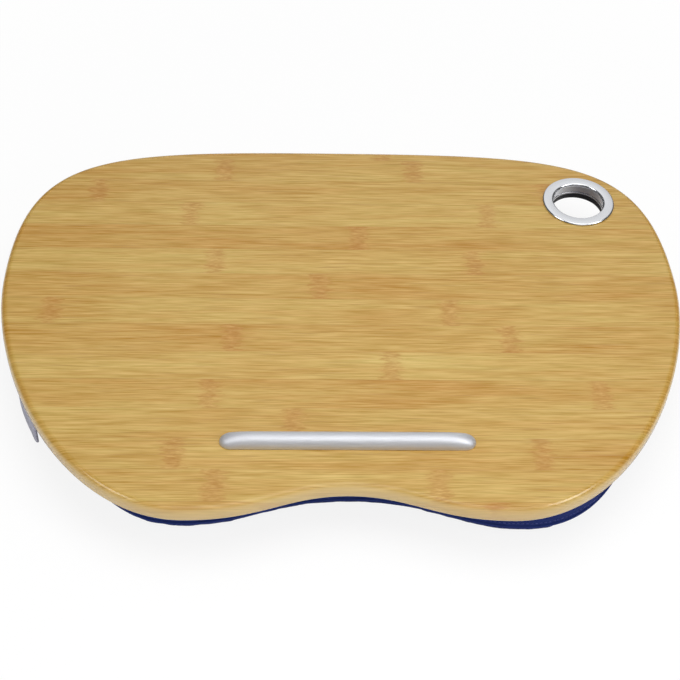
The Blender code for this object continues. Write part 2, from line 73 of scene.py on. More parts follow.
Outline = namedtuple("Outline", "half_width back_y widest_y lobe_x lobe_y notch_y "
                                "back shoulder flank lobe_out lobe_in notch")
BOARD_OUTLINE = Outline(0.290, 0.2095, 0.0385, 0.1247, -0.2095, -0.1867,
                        0.749, 0.972, 0.42, 0.565, 0.48, 0.385)

# Sizes that only the look has. The sewn cushion lies a little askew under the board
CUSHION_OUTLINE = Outline(0.2550, 0.0979, 0.0554, 0.1340, -0.1892, -0.1641,
                          0.72, 0.90, 0.214, 0.888, 0.400, 0.482)
CUSHION_SHIFT = Vector((0.0062, 0.0, 0.0))
CUSHION_TURN = Matrix.Rotation(math.radians(-0.61), 4, "Z")
LEDGE_TAPER = 0.028
LEDGE_ROUND = 0.009
STRAP_THICKNESS = 0.0011

# Points on the back, the side and the front of an outline's left half
COARSE_STEPS = (26, 26, 16)
EDGE_STEPS = (52, 52, 32)
SEAM_STEPS = (60, 60, 40)


def outline_points(shape, steps):
    """Points round a kidney outline, anticlockwise from the middle of the back."""
    back = Vector((0.0, shape.back_y, 0.0))
    back_handle = Vector((shape.back * shape.half_width, 0.0, 0.0))
    side = Vector((-shape.half_width, shape.widest_y, 0.0))
    rise = Vector((0.0, shape.shoulder * (shape.back_y - shape.widest_y), 0.0))
    fall = Vector((0.0, shape.flank * (shape.widest_y - shape.lobe_y), 0.0))
    lobe = Vector((-shape.lobe_x, shape.lobe_y, 0.0))
    outward = Vector((shape.lobe_out * (shape.half_width - shape.lobe_x), 0.0, 0.0))
    inward = Vector((shape.lobe_in * shape.lobe_x, 0.0, 0.0))
    notch = Vector((0.0, shape.notch_y, 0.0))
    notch_handle = Vector((shape.notch * shape.lobe_x, 0.0, 0.0))
    left = []
    for span, count in zip(((back, back - back_handle, side + rise, side),
                            (side, side - fall, lobe - outward, lobe),
                            (lobe, lobe + inward, notch - notch_handle, notch)), steps):
        left += interpolate_bezier(*span, count + 1)[:-1]
    mirrored = [Vector((-p.x, p.y, 0.0)) for p in reversed(left[1:])]
    return left + [notch] + mirrored


def cushion_points(steps):
    """The cushion's outline in its place under the board."""
    return [CUSHION_TURN @ (p + CUSHION_SHIFT) for p in outline_points(CUSHION_OUTLINE, steps)]


def flat_face(bm, points, z):
    """One flat face inside the outline at this height, facing up."""
    verts = [bm.verts.new((p.x, p.y, z)) for p in points]
    edges = [bm.edges.new(pair) for pair in zip(verts, verts[1:] + verts[:1])]
    face = bmesh.ops.edgeloop_fill(bm, edges=edges)["faces"][0]
    face.normal_update()
    if face.normal.z < 0:
        face.normal_flip()
    return face


def raise_face(bm, face, height):
    """Extrudes a flat face straight up into a closed block."""
    raised = bmesh.ops.extrude_face_region(bm, geom=[face])["geom"]
    top_verts = [v for v in raised if isinstance(v, bmesh.types.BMVert)]
    bmesh.ops.translate(bm, verts=top_verts, vec=(0.0, 0.0, height))
    bmesh.ops.recalc_face_normals(bm, faces=bm.faces)


def inset_face(bm, face, inset, rise=0.0):
    """Insets one flat face evenly."""
    bmesh.ops.inset_region(bm, faces=[face], thickness=inset, depth=rise, use_boundary=True,
                           use_even_offset=True)


def inset_in_steps(bm, face, section):
    """Insets a flat face ring by ring. The section lists (inset, rise) from where the face starts."""
    last_inset, last_rise = 0.0, 0.0
    for inset, rise in section:
        inset_face(bm, face, inset - last_inset, rise - last_rise)
        last_inset, last_rise = inset, rise


def bevel(bm, edges, offset, segments):
    """Rounds these edges."""
    bmesh.ops.bevel(bm, geom=edges, offset=offset, segments=segments, profile=0.5, affect="EDGES",
                    material=-1)


def turned(profile, centre, steps=128):
    """A closed ring or a solid of revolution from a profile of (radius, z)."""
    bm = bmesh.new()
    verts = [bm.verts.new((centre.x + r, centre.y, z)) for r, z in profile]
    edges = [bm.edges.new(pair) for pair in zip(verts, verts[1:])]
    if profile[0][0] > 0.0:
        edges.append(bm.edges.new((verts[-1], verts[0])))
    bmesh.ops.spin(bm, geom=verts + edges, cent=centre, axis=(0, 0, 1), angle=math.tau, steps=steps,
                   use_merge=True)
    bmesh.ops.remove_doubles(bm, verts=bm.verts, dist=0.000005)
    bmesh.ops.recalc_face_normals(bm, faces=bm.faces)
    return bm


def arc(centre_r, centre_z, radius, start, end, steps):
    """Profile points along an arc, its angles in degrees from the outward direction."""
    angles = [math.radians(start + (end - start) * i / steps) for i in range(steps + 1)]
    return [(centre_r + radius * math.cos(a), centre_z + radius * math.sin(a)) for a in angles]


def mesh_of(name, bm):
    """A mesh made from a bmesh, which is then freed."""
    mesh = bpy.data.meshes.new(name)
    bm.to_mesh(mesh)
    bm.free()
    return mesh


def linked(name, data):
    """A new object with this data, in the scene."""
    thing = bpy.data.objects.new(name, data)
    bpy.context.scene.collection.objects.link(thing)
    return thing


def finished_mesh(thing):
    """The mesh that an object shows, with its modifiers worked out."""
    bpy.context.view_layer.update()
    return bpy.data.meshes.new_from_object(thing.evaluated_get(bpy.context.evaluated_depsgraph_get()))


def apply_modifiers(thing):
    """Gives an object the mesh that it shows."""
    shown = finished_mesh(thing)
    thing.modifiers.clear()
    thing.data = shown


def curve_mesh(name, curve):
    """The mesh of a curve."""
    holder = linked(name, curve)
    mesh = finished_mesh(holder)
    bpy.data.objects.remove(holder)
    return mesh


def cut_out(piece, name, cutter, crossing=False):
    """Cuts a bmesh out of a piece. A cutter whose own parts cross is said to be crossing."""
    tool = linked(name, mesh_of(name, cutter))
    cut = piece.modifiers.new("cut", "BOOLEAN")
    cut.object = tool
    cut.use_self = crossing
    apply_modifiers(piece)
    bpy.data.objects.remove(tool)


def shade_with_edges(mesh, sharp):
    """Smooth shading that breaks where two faces meet at more than this many degrees."""
    mesh.shade_smooth()
    mesh.set_sharp_from_angle(angle=math.radians(sharp))


def new_piece(name, bm, body, materials, replaces=(), sharp=35.0):
    """A finished piece from a bmesh, with its materials, riding on its body in place of its solids."""
    mesh = mesh_of(name, bm)
    shade_with_edges(mesh, sharp)
    piece = linked(name, mesh)
    for material in materials:
        mesh.materials.append(material)
    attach(piece, body)
    if replaces:
        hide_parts(*replaces)
    return piece


def srgb(hex_text):
    """A colour written as sRGB hex, in the linear values that a shader takes."""
    parts = (int(hex_text[i:i + 2], 16) / 255 for i in (0, 2, 4))
    return (*(c / 12.92 if c <= 0.04045 else ((c + 0.055) / 1.055) ** 2.4 for c in parts), 1.0)


def fill_inputs(made, inputs):
    """Links each input that is given a socket, or a node for its first output in use, and sets the others."""
    for name, value in inputs.items():
        if isinstance(value, bpy.types.Node):
            value = next(output for output in value.outputs if output.enabled)
        if isinstance(value, bpy.types.NodeSocket):
            made.id_data.links.new(value, made.inputs[name])
        else:
            made.inputs[name].default_value = value


def node(tree, kind, inputs=None, **settings):
    """Adds a node with its settings and fills its inputs, which go by number where names repeat.

    MapRange: 0 value, 1 and 2 from, 3 and 4 to. Mix: 0 share, 2 and 3 numbers, 6 and 7 colours.
    """
    made = tree.nodes.new("ShaderNode" + kind)
    for name, value in settings.items():
        setattr(made, name, value)
    fill_inputs(made, inputs or {})
    return made


def new_material(name, **values):
    """A material, what adds nodes to it and its shader, with the values that are the same all over."""
    material = bpy.data.materials.new(name)
    material.use_nodes = True
    shader = material.node_tree.nodes["Principled BSDF"]
    fill_inputs(shader, {socket.replace("_", " "): value for socket, value in values.items()})
    return material, partial(node, material.node_tree), shader


def streaks(add, place, per_metre, detail=2.0, roughness=0.5):
    """A drawn-out pattern with this many features to the metre each way."""
    stretched = add("VectorMath", {0: place, 1: per_metre}, operation="MULTIPLY")
    return add("TexNoise", {"Vector": stretched, "Scale": 1.0, "Detail": detail, "Roughness": roughness})


# Bamboo-print foil, hot-pressed round a fibreboard core: narrow laminated strips with fine, gently waving
# fibres and a satin lacquer. Each strip shows knuckles, where the cane's fibres turn short and reddish.
STRIP_PITCH = 0.0305
FIRST_STRIP_Y = 0.2264
# Where the knuckles of each strip lie, in millimetres right of the middle, for the strips from the back on
KNUCKLES = ((-260, 40), (-106, 69), (-219, 190), (-134, 132), (14, 320), (-110, 115), (-20, 330),
            (-245, 90), (-93, 137), (37, 320), (-109, 205), (-42, 330), (-135, 150), (-102, 69), (-60, 110))
KNUCKLE_REACH = (-300.0, 340.0)


def knuckle_mask(add, x, row, place):
    """1 inside a knuckle and 0 away from it. A stepped ramp holds two places for each strip."""
    low, high = KNUCKLE_REACH
    share = add("MapRange", {0: row, 1: -0.5, 2: len(KNUCKLES) - 0.5})
    ramp = add("ValToRGB", {0: share})
    ramp.color_ramp.interpolation = "CONSTANT"
    stops = ramp.color_ramp.elements
    while len(stops) < len(KNUCKLES):
        stops.new(0.5)
    for index, (first, second) in enumerate(KNUCKLES):
        stops[index].position = index / len(KNUCKLES)
        stops[index].color = ((first - low) / (high - low), (second - low) / (high - low), 0.0, 1.0)
    places = add("SeparateColor", {0: ramp})
    ragged = streaks(add, place, (60.0, 330.0, 3.0), 3.0, 0.7)
    ragged = add("MapRange", {0: ragged, 3: -0.017, 4: 0.017}, clamp=False)
    ragged_x = add("Math", {0: x, 1: ragged}, operation="ADD")
    away = []
    for channel in (0, 1):
        centre = add("MapRange", {0: places.outputs[channel], 3: low / 1000, 4: high / 1000})
        offset = add("Math", {0: ragged_x, 1: centre}, operation="SUBTRACT")
        away.append(add("Math", {0: offset}, operation="ABSOLUTE"))
    nearest = add("Math", {0: away[0], 1: away[1]}, operation="MINIMUM")
    return add("MapRange", {0: nearest, 1: 0.011, 2: 0.003}, interpolation_type="SMOOTHSTEP")


def joint_mask(add, rows, film):
    """How much shows of the glue line between two strips, which isn't darker at every joint."""
    joint = add("Math", {0: rows}, operation="FRACT")
    joint = add("Math", {0: joint, 1: 0.5}, operation="SUBTRACT")
    joint = add("Math", {0: joint}, operation="ABSOLUTE")
    joint = add("MapRange", {0: joint, 1: 0.478, 2: 0.496, 4: 0.32})
    return add("Math", {0: joint, 1: streaks(add, film, (20.0, 1.0, 1.0))}, operation="MULTIPLY")


def bamboo_foil():
    """The foil on the board. Its film attribute is the place on the print before it was drawn down."""
    material, add, shader = new_material("bamboo_print_foil")
    film = add("Attribute", attribute_name="film").outputs["Vector"]
    place = add("SeparateXYZ", {0: film})
    rows = add("MapRange", {0: place.outputs["Y"], 1: FIRST_STRIP_Y, 2: FIRST_STRIP_Y - STRIP_PITCH},
               clamp=False)
    row = add("Math", {0: rows}, operation="FLOOR")
    pale_row = add("Math", {0: row, 1: 2.0}, operation="FLOORED_MODULO")
    chance = add("TexWhiteNoise", {"W": row}, noise_dimensions="1D")
    knuckle = knuckle_mask(add, place.outputs["X"], row, film)

    # The fibres wave by less than a millimetre
    wave = add("MapRange", {0: streaks(add, film, (7.0, 45.0, 1.0)), 3: -0.00035, 4: 0.00035}, clamp=False)
    grain = add("CombineXYZ", {
        0: place.outputs["X"],
        1: add("Math", {0: place.outputs["Y"], 1: wave}, operation="ADD"),
        2: add("Math", {0: row, 1: 7.3}, operation="MULTIPLY")})

    # Fibres of 1 to 2 mm, which are short dashes at a knuckle, in bands of 5 mm, 15 mm and a whole strip.
    # Cut vessels between them are thin dark lines
    fibre = streaks(add, grain, (31.0, 780.0, 1.0), roughness=0.6)
    dash = streaks(add, grain, (125.0, 680.0, 1.0), roughness=0.6)
    strand = streaks(add, grain, (15.0, 190.0, 1.0), 1.0)
    band = streaks(add, grain, (5.5, 70.0, 1.0), 1.0)
    cloud = streaks(add, grain, (6.0, 16.0, 1.0), 1.0)
    vessel = streaks(add, grain, (24.0, 880.0, 1.0), 1.0)
    fine = add("Mix", {0: knuckle, 2: fibre, 3: dash})

    # Fine streaks only change how light the foil is. Bands and strips turn from orange to pale straw
    straw = -0.62
    for part, weight in ((strand, 0.74), (band, 0.56), (cloud, 0.70), (pale_row, 0.15), (chance, 0.12),
                         (knuckle, -0.18)):
        straw = add("Math", {0: part, 1: weight, 2: straw}, operation="MULTIPLY_ADD")
    tint = add("Mix", {0: straw, 6: srgb("B58439"), 7: srgb("C8AC62")}, data_type="RGBA")
    shade = add("MapRange", {0: fine, 1: 0.25, 2: 0.75, 3: -0.17, 4: 0.17})
    shade = add("VectorMath", {0: (0.74, 0.58, 0.32), "Scale": shade}, operation="SCALE")
    wood = add("VectorMath", {0: tint, 1: shade}, operation="ADD")
    vessel = add("MapRange", {0: vessel, 1: 0.60, 2: 0.74, 4: 0.30})
    flush = add("Math", {0: 0.76, 1: fine}, operation="SUBTRACT")
    flush = add("Math", {0: knuckle, 1: flush}, operation="MULTIPLY")
    for share, colour in ((vessel, "8A5E2C"), (flush, "B27E45"), (joint_mask(add, rows, film), "8F6230")):
        wood = add("Mix", {0: share, 6: wood, 7: srgb(colour)}, data_type="RGBA")

    # Over both ends the foil is bent across its fibres. There the round gets painted shade: it is made deeper
    # in colour where it faces left or right, in place of the darker surroundings that it reflects
    height = add("SeparateXYZ", {0: add("TexCoord").outputs["Object"]}).outputs["Z"]
    end_on = add("Attribute", attribute_name="end_on").outputs["Fac"]
    # Painted shade on the round: deeper in colour the more it faces left or right
    bend = add("MapRange", {0: height, 1: BOARD_TOP - 0.00002, 2: BOARD_TOP - 0.0005, 4: 0.6})
    across = add("Math", {0: end_on, 1: 2.0}, operation="POWER")
    bend = add("Math", {0: bend, 1: across}, operation="MULTIPLY")
    wood = add("Mix", {0: bend, 6: wood, 7: (0.93, 0.82, 0.62, 1.0)}, data_type="RGBA", blend_type="MULTIPLY")
    # Painted light: below the round the side is made paler, in place of the light and the white floor's
    # reflection that a side face catches
    drawn = add("Math", {0: end_on, 1: 0.001, 2: height}, operation="MULTIPLY_ADD")
    drawn = add("MapRange", {0: drawn, 1: BOARD_TOP - 0.0002, 2: BOARD_TOP - 0.0027, 4: 0.55},
                interpolation_type="SMOOTHSTEP")
    wood = add("Mix", {0: drawn, 6: wood, 7: srgb("DCC38F")}, data_type="RGBA")
    gloss = add("MapRange", {0: fibre, 1: 0.3, 2: 0.7, 3: 0.13, 4: 0.18})
    bump = add("Bump", {"Strength": 0.2, "Distance": 0.0001, "Height": fibre})
    fill_inputs(shader, {"Base Color": wood, "Roughness": gloss, "Normal": bump})
    return material


def foil_cut_edge():
    """The foil's trimmed edge below: its white backing paper shows as a fine cream line."""
    material, add, shader = new_material("foil_cut_edge", Roughness=0.7)
    place = add("TexCoord").outputs["Object"]
    fuzz = add("TexNoise", {"Vector": place, "Scale": 900.0})
    tint = add("Mix", {0: fuzz, 6: srgb("D9C7A0"), 7: srgb("F1E6CC")}, data_type="RGBA")
    fill_inputs(shader, {"Base Color": tint})
    return material


def fibreboard():
    """Sealed medium-density fibreboard: pressed brown fibres with paler and darker specks."""
    material, add, shader = new_material("sealed_fibreboard", Roughness=0.62)
    place = add("TexCoord").outputs["Object"]
    specks = add("TexNoise", {"Vector": place, "Scale": 650.0, "Detail": 4.0})
    clouds = add("TexNoise", {"Vector": place, "Scale": 18.0})
    tone = add("Math", {0: specks, 1: 0.7, 2: clouds}, operation="MULTIPLY_ADD")
    tone = add("MapRange", {0: tone, 1: 0.62})
    tint = add("Mix", {0: tone, 6: srgb("6E5235"), 7: srgb("9C7A53")}, data_type="RGBA")
    bump = add("Bump", {"Strength": 0.3, "Distance": 0.0001, "Height": specks})
    fill_inputs(shader, {"Base Color": tint, "Normal": bump})
    return material


def plated_ring_finish():
    """Satin chrome plating on moulded ABS: a bright grey metal with a soft, slightly uneven gloss."""
    material, add, shader = new_material("satin_chrome_plating", Metallic=1.0, Base_Color=srgb("EDEFF3"))
    place = add("TexCoord").outputs["Object"]
    haze = add("TexNoise", {"Vector": place, "Scale": 60.0, "Detail": 3.0})
    fine = add("TexNoise", {"Vector": place, "Scale": 1900.0, "Detail": 3.0})
    gloss = add("MapRange", {0: haze, 1: 0.3, 2: 0.7, 3: 0.13, 4: 0.20})
    bump = add("Bump", {"Strength": 0.12, "Distance": 0.00005, "Height": fine})
    fill_inputs(shader, {"Roughness": gloss, "Normal": bump})
    return material


def silver_lacquer():
    """Silver metallic lacquer on a moulded bar: fine aluminium flake with a broad satin gloss."""
    material, add, shader = new_material("silver_metallic_lacquer", Metallic=0.7)
    place = add("TexCoord").outputs["Object"]
    flake = add("TexVoronoi", {"Vector": place, "Scale": 4200.0})
    tint = add("MapRange", {0: flake, 2: 0.9})
    tint = add("Mix", {0: tint, 6: srgb("E0E2E7"), 7: srgb("D0D2D8")}, data_type="RGBA")
    haze = streaks(add, place, (40.0, 90.0, 90.0), 3.0)
    gloss = add("MapRange", {0: haze, 1: 0.3, 2: 0.7, 3: 0.50, 4: 0.56})
    fill_inputs(shader, {"Base Color": tint, "Roughness": gloss})
    return material


def finely_grained(name, colour, pattern, grain, strength, depth, **values):
    """A material of one colour with one fine pattern as its relief."""
    material, add, shader = new_material(name, Base_Color=srgb(colour), **values)
    height = add(pattern, {"Vector": add("TexCoord").outputs["Object"], **grain})
    bump = add("Bump", {"Strength": strength, "Distance": depth, "Height": height})
    fill_inputs(shader, {"Normal": bump})
    return material


def black_moulding():
    """Black polypropylene with a fine spark-eroded grain from the mould."""
    return finely_grained("black_moulded_plastic", "17171A", "TexNoise", {"Scale": 2600.0}, 0.35, 0.00008,
                          Roughness=0.48)


def fleecy_tape(name, colour, scale, depth):
    """Hook or loop tape: a dark pile, coarse for the hooks and matted for the loops."""
    return finely_grained(name, colour, "TexVoronoi", {"Scale": scale}, 0.8, depth, Roughness=0.9,
                          Sheen_Weight=0.3, Sheen_Roughness=0.6)


def spun_thread(name, colour):
    """Sewing thread: two plies with a soft gloss."""
    return finely_grained(name, colour, "TexNoise", {"Scale": 3000.0, "Detail": 1.0}, 0.4, 0.0001,
                          Roughness=0.6, Sheen_Weight=0.2)


def zinc_plate():
    """Zinc-plated steel screw: bluish grey metal with a clouded gloss."""
    material, add, shader = new_material("zinc_plated_steel", Metallic=1.0, Base_Color=srgb("BFC3C9"))
    place = add("TexCoord").outputs["Object"]
    cloud = add("TexNoise", {"Vector": place, "Scale": 1400.0, "Detail": 3.0})
    gloss = add("MapRange", {0: cloud, 1: 0.3, 2: 0.7, 3: 0.28, 4: 0.48})
    fill_inputs(shader, {"Roughness": gloss})
    return material


def woven_cloth(name, dark, pale, sheen):
    """Plain-woven polyester: threads over and under each other on the piece's own UV map, in metres.

    The real threads are 0.4 mm apart. They are drawn 0.8 mm apart, which just shows.
    """
    thread = 0.0008
    material, add, shader = new_material(name, Roughness=0.82, Sheen_Weight=sheen, Sheen_Roughness=0.45,
                                         Specular_IOR_Level=0.15)
    uv = add("UVMap", uv_map="weave")
    place = add("SeparateXYZ", {0: uv})
    waves = []
    for axis in ("X", "Y"):
        turns = add("Math", {0: place.outputs[axis], 1: math.pi / thread}, operation="MULTIPLY")
        waves.append(add("Math", {0: turns}, operation="SINE"))
    weave = add("Math", {0: waves[0], 1: waves[1]}, operation="MULTIPLY")
    height = add("MapRange", {0: weave, 1: -1.0})
    # The colour is partly painted shade, darker where the threads dip, and partly the uneven tone of the
    # slubs
    slubs = streaks(add, uv, (90.0, 1400.0, 1.0), 3.0)
    tone = add("Math", {0: slubs, 1: 0.6}, operation="MULTIPLY")
    tone = add("Math", {0: height, 1: 0.4, 2: tone}, operation="MULTIPLY_ADD")
    tint = add("Mix", {0: tone, 6: srgb(dark), 7: srgb(pale)}, data_type="RGBA")
    bump = add("Bump", {"Strength": 0.5, "Distance": 0.00025, "Height": height})
    fill_inputs(shader, {"Base Color": tint, "Normal": bump})
    return material


def grey_webbing():
    """Woven polyester webbing: ribs along its length, crossed by weft picks, and a closed selvedge."""
    rib_pitch, pick_pitch = 0.0021, 0.0016
    material, add, shader = new_material("grey_polyester_webbing", Roughness=0.72, Sheen_Weight=0.15,
                                         Specular_IOR_Level=0.3)
    uv = add("UVMap", uv_map="weave")
    place = add("SeparateXYZ", {0: uv})
    rib = add("Math", {0: place.outputs["Y"], 1: math.tau / rib_pitch}, operation="MULTIPLY")
    rib = add("Math", {0: rib}, operation="SINE")
    pick = add("Math", {0: place.outputs["X"], 1: math.tau / pick_pitch, 2: rib}, operation="MULTIPLY_ADD")
    pick = add("Math", {0: pick}, operation="SINE")
    height = add("Math", {0: pick, 1: 0.35, 2: rib}, operation="MULTIPLY_ADD")
    height = add("MapRange", {0: height, 1: -1.35, 2: 1.35})
    # The colour is partly painted shade, darker where ribs and picks dip, and partly uneven streaks in the
    # yarn
    tone = add("Math", {0: streaks(add, uv, (25.0, 900.0, 1.0)), 1: height}, operation="ADD")
    tone = add("MapRange", {0: tone, 1: 0.4, 2: 1.6})
    tint = add("Mix", {0: tone, 6: srgb("8D8D9C"), 7: srgb("B9B9C8")}, data_type="RGBA")
    bump = add("Bump", {"Strength": 0.7, "Distance": 0.0003, "Height": height})
    fill_inputs(shader, {"Base Color": tint, "Normal": bump})
    return material


def build_board():
    """The board: rounded over on top, with the foil drawn down over its side, bored for ring and screws."""
    foil, cut_edge, bare = 0, 1, 2
    bm = bmesh.new()
    raise_face(bm, flat_face(bm, outline_points(BOARD_OUTLINE, EDGE_STEPS), BOARD_LOW), BOARD_TOP - BOARD_LOW)
    for z, offset, segments in ((BOARD_TOP, BOARD_TOP_ROUND, 10), (BOARD_LOW, BOARD_LOWER_ARRIS, 2)):
        rim = [e for e in bm.edges if all(abs(v.co.z - z) < 1e-6 for v in e.verts)]
        bevel(bm, rim, offset, segments)
    top = max(bm.faces, key=lambda f: f.calc_center_median().z + f.calc_area())
    inset_face(bm, top, 0.0005)
    for face in bm.faces:
        if face.normal.z < -0.9:
            face.material_index = bare
        elif face.calc_center_median().z < BOARD_LOW + BOARD_LOWER_ARRIS:
            face.material_index = cut_edge
        else:
            face.material_index = foil
    board = new_piece("dressed_board", bm, "tray",
                      (bamboo_foil(), foil_cut_edge(), fibreboard()), ("tray_board",))

    # The hole goes right through for the ring and is blind for each screw head
    holes = [(CUP_CENTRE, CUP_BORE + 0.0023, BOARD_TOP + 0.008, 128)]
    holes += [(Vector((x, LEDGE_Y, 0.0)), 0.0039, BOARD_LOW + 0.0025, 32) for x in (-SCREW_X, SCREW_X)]
    low = BOARD_LOW - 0.010
    for centre, radius, high, steps in holes:
        plug = turned([(0.0, high), (radius, high), (radius, low), (0.0, low)], centre, steps)
        cut_out(board, "hole", plug)
        for polygon in board.data.polygons:
            within = (polygon.center.xy - centre.xy).length < radius + 0.0002
            if within and polygon.center.z < BOARD_TOP - 1e-5:
                polygon.material_index = bare
    mesh = board.data
    mesh.name = "dressed_board"
    shade_with_edges(mesh, 35.0)
    write_film(mesh)


def write_film(mesh):
    """Writes where each point of the foil lay on the flat print, and how far its bend faces left or right."""
    film, end_on = [], []
    for vert in mesh.vertices:
        drop = BOARD_TOP - vert.co.z
        if drop < BOARD_TOP_ROUND:
            angle = math.acos(max(-1.0, 1.0 - drop / BOARD_TOP_ROUND))
            extra = BOARD_TOP_ROUND * (angle - math.sin(angle))
        else:
            extra = BOARD_TOP_ROUND * (math.pi / 2 - 1.0) + drop - BOARD_TOP_ROUND
        place = Vector((vert.co.x, vert.co.y, 0.0))
        outward = Vector((vert.normal.x, vert.normal.y, 0.0))
        bent = drop > 1e-5 and outward.length > 1e-3
        if bent:
            place += outward.normalized() * extra
        film.extend(place)
        end_on.append(abs(outward.normalized().x) if bent else 0.0)
    mesh.attributes.new("film", "FLOAT_VECTOR", "POINT").data.foreach_set("vector", film)
    mesh.attributes.new("end_on", "FLOAT", "POINT").data.foreach_set("value", end_on)


def build_cup_ring():
    """The collar: a flat flange, round outside, a lip that rolls into the bore, a wall with a groove."""
    seat = BOARD_TOP + GAP
    top = seat + 0.0017
    bore = CUP_BORE - 0.0006
    wall = CUP_BORE + 0.0020
    low = BOARD_LOW + 0.0022
    profile = arc(bore + 0.0010, top - 0.0017, 0.0017, 220, 90, 11)
    profile += arc(FLANGE_RADIUS - 0.0015, top - 0.0015, 0.0015, 90, 8, 8)
    profile += [(FLANGE_RADIUS, seat + 0.0001), (FLANGE_RADIUS - 0.0002, seat), (wall, seat),
                (wall, low + 0.0004), (wall - 0.0004, low), (bore + 0.0004, low),
                (bore, low + 0.0004), (bore, low + 0.0016), (bore + 0.0006, low + 0.0019),
                (bore + 0.0006, low + 0.0028), (bore, low + 0.0031)]
    new_piece("dressed_cup_ring", turned(profile, CUP_CENTRE), "tray",
              (plated_ring_finish(),), ("cup_ring",), sharp=28.0)


def build_lock_ring():
    """The black ring below, with finger notches all round and a softly broken lower edge."""
    bore = CUP_BORE - 0.0004
    sleeve_wall, sleeve_top = CUP_BORE + 0.0019, BOARD_LOW + 0.0019
    high = BOARD_LOW - GAP
    low = high - 0.003
    profile = [(bore, sleeve_top), (sleeve_wall, sleeve_top), (sleeve_wall, high), (LOCK_RING_RADIUS, high)]
    profile += arc(LOCK_RING_RADIUS - 0.0012, low + 0.0012, 0.0012, 0, -90, 4)
    profile += [(bore + 0.0006, low), (bore, low + 0.0006)]
    bm = turned(profile, CUP_CENTRE, steps=96)
    rim = []
    for face in bm.faces:
        offset = face.calc_center_median() - CUP_CENTRE
        if abs(face.normal.z) < 0.2 and offset.xy.length > LOCK_RING_RADIUS - 0.0005:
            rim.append((math.atan2(offset.y, offset.x), face))
    rim.sort(key=lambda pair: pair[0])
    notched = [face for index, (_, face) in enumerate(rim) if index % 6 in (0, 1)]
    bmesh.ops.inset_region(bm, faces=notched, thickness=0.0003, depth=-0.0006, use_even_offset=True)
    new_piece("dressed_lock_ring", bm, "tray", (black_moulding(),), ("cup_lock_ring",))


def build_ledge_bar():
    """The half-round bar: it slopes down over a long run to ends that are round in plan."""
    bm = bmesh.new()
    bmesh.ops.create_uvsphere(bm, u_segments=72, v_segments=61, radius=1.0)
    straight = LEDGE_LENGTH / 2 - LEDGE_TAPER
    for vert in bm.verts:
        ball = vert.co.copy()
        reach = abs(ball.z)
        ring = max(math.hypot(ball.x, ball.y), 1e-9)
        near_end = max(0.0, 1.0 - LEDGE_TAPER * (1.0 - reach) / LEDGE_ROUND)
        wide = math.sqrt(max(0.0, 1.0 - near_end ** 2)) * LEDGE_WIDTH / 2
        high = max(0.0, 1.0 - reach ** 2.2) ** (1.0 / 2.2) * LEDGE_HEIGHT
        vert.co = (math.copysign(straight + LEDGE_TAPER * reach, ball.z) if reach > 1e-4 else 0.0,
                   ball.x / ring * wide, ball.y / ring * high)
    halved = bmesh.ops.bisect_plane(bm, geom=bm.verts[:] + bm.edges[:] + bm.faces[:], plane_co=(0, 0, 0),
                                    plane_no=(0, 0, 1), clear_inner=True)
    edges = [e for e in halved["geom_cut"] if isinstance(e, bmesh.types.BMEdge)]
    bmesh.ops.edgeloop_fill(bm, edges=edges)
    bmesh.ops.recalc_face_normals(bm, faces=bm.faces)
    bmesh.ops.translate(bm, verts=bm.verts, vec=(0.0, LEDGE_Y, BOARD_TOP + GAP))
    new_piece("dressed_ledge_bar", bm, "tray", (silver_lacquer(),), ("ledge_bar",))


def build_screws():
    """Countersunk screws with a cross recess, seen only from below."""
    finish = zinc_plate()
    shank, head = 0.00175, 0.0036
    slot_length, slot_width, slot_height = 0.0034, 0.0007, 0.0030
    low = BOARD_LOW + GAP
    tip = BOARD_TOP + GAP + 0.0048
    profile = [(0.0, tip), (0.0013, tip), (shank, tip - 0.001), (shank, low + 0.0022), (head, low + 0.0002),
               (head - 0.0001, low), (0.0, low)]
    for side, x in (("left", -SCREW_X), ("right", SCREW_X)):
        bm = turned(profile, Vector((x, LEDGE_Y, 0.0)), steps=48)
        screw = new_piece("dressed_screw_" + side, bm, "tray", (finish,),
                          ("ledge_screw_" + side,))
        cross = bmesh.new()
        for size in ((slot_width, slot_length, slot_height), (slot_length, slot_width, slot_height)):
            cube = bmesh.ops.create_cube(cross, size=1.0)["verts"]
            bmesh.ops.scale(cross, verts=cube, vec=size)
            for vert in cube:
                if vert.co.z > 0:
                    vert.co.xy *= 0.45
            bmesh.ops.translate(cross, verts=cube, vec=(x, LEDGE_Y, low))
        cut_out(screw, "cross", cross, crossing=True)


def cushion_start():
    """The cushion's closed form before it is filled: rolled underside, drawn-in sides, flat top."""
    side_gap, band, depth = 0.0006, 0.002, SEAM_LOW - 0.0006
    bm = bmesh.new()
    outer = flat_face(bm, cushion_points(COARSE_STEPS), SEAM_LOW)
    inset_face(bm, outer, side_gap)
    bmesh.ops.delete(bm, geom=[f for f in bm.faces if f is not outer], context="FACES")
    raise_face(bm, outer, band)
    flat = [f for f in bm.faces if abs(f.normal.z) > 0.9]
    lower = min(flat, key=lambda f: f.calc_center_median().z)
    upper = max(flat, key=lambda f: f.calc_center_median().z)
    shares = [i / 6 for i in range(1, 7)]
    turns = [math.pi / 2 * share for share in shares]
    inset_in_steps(bm, lower, [(UNDERSIDE_ROLL * (1 - math.cos(a)), depth * math.sin(a)) for a in turns])
    height = CUSHION_TOP - SEAM_LOW - band
    inset_in_steps(bm, upper, [(SEAM_HIGH_INSET * s ** 1.8, height * s) for s in shares])
    return bm


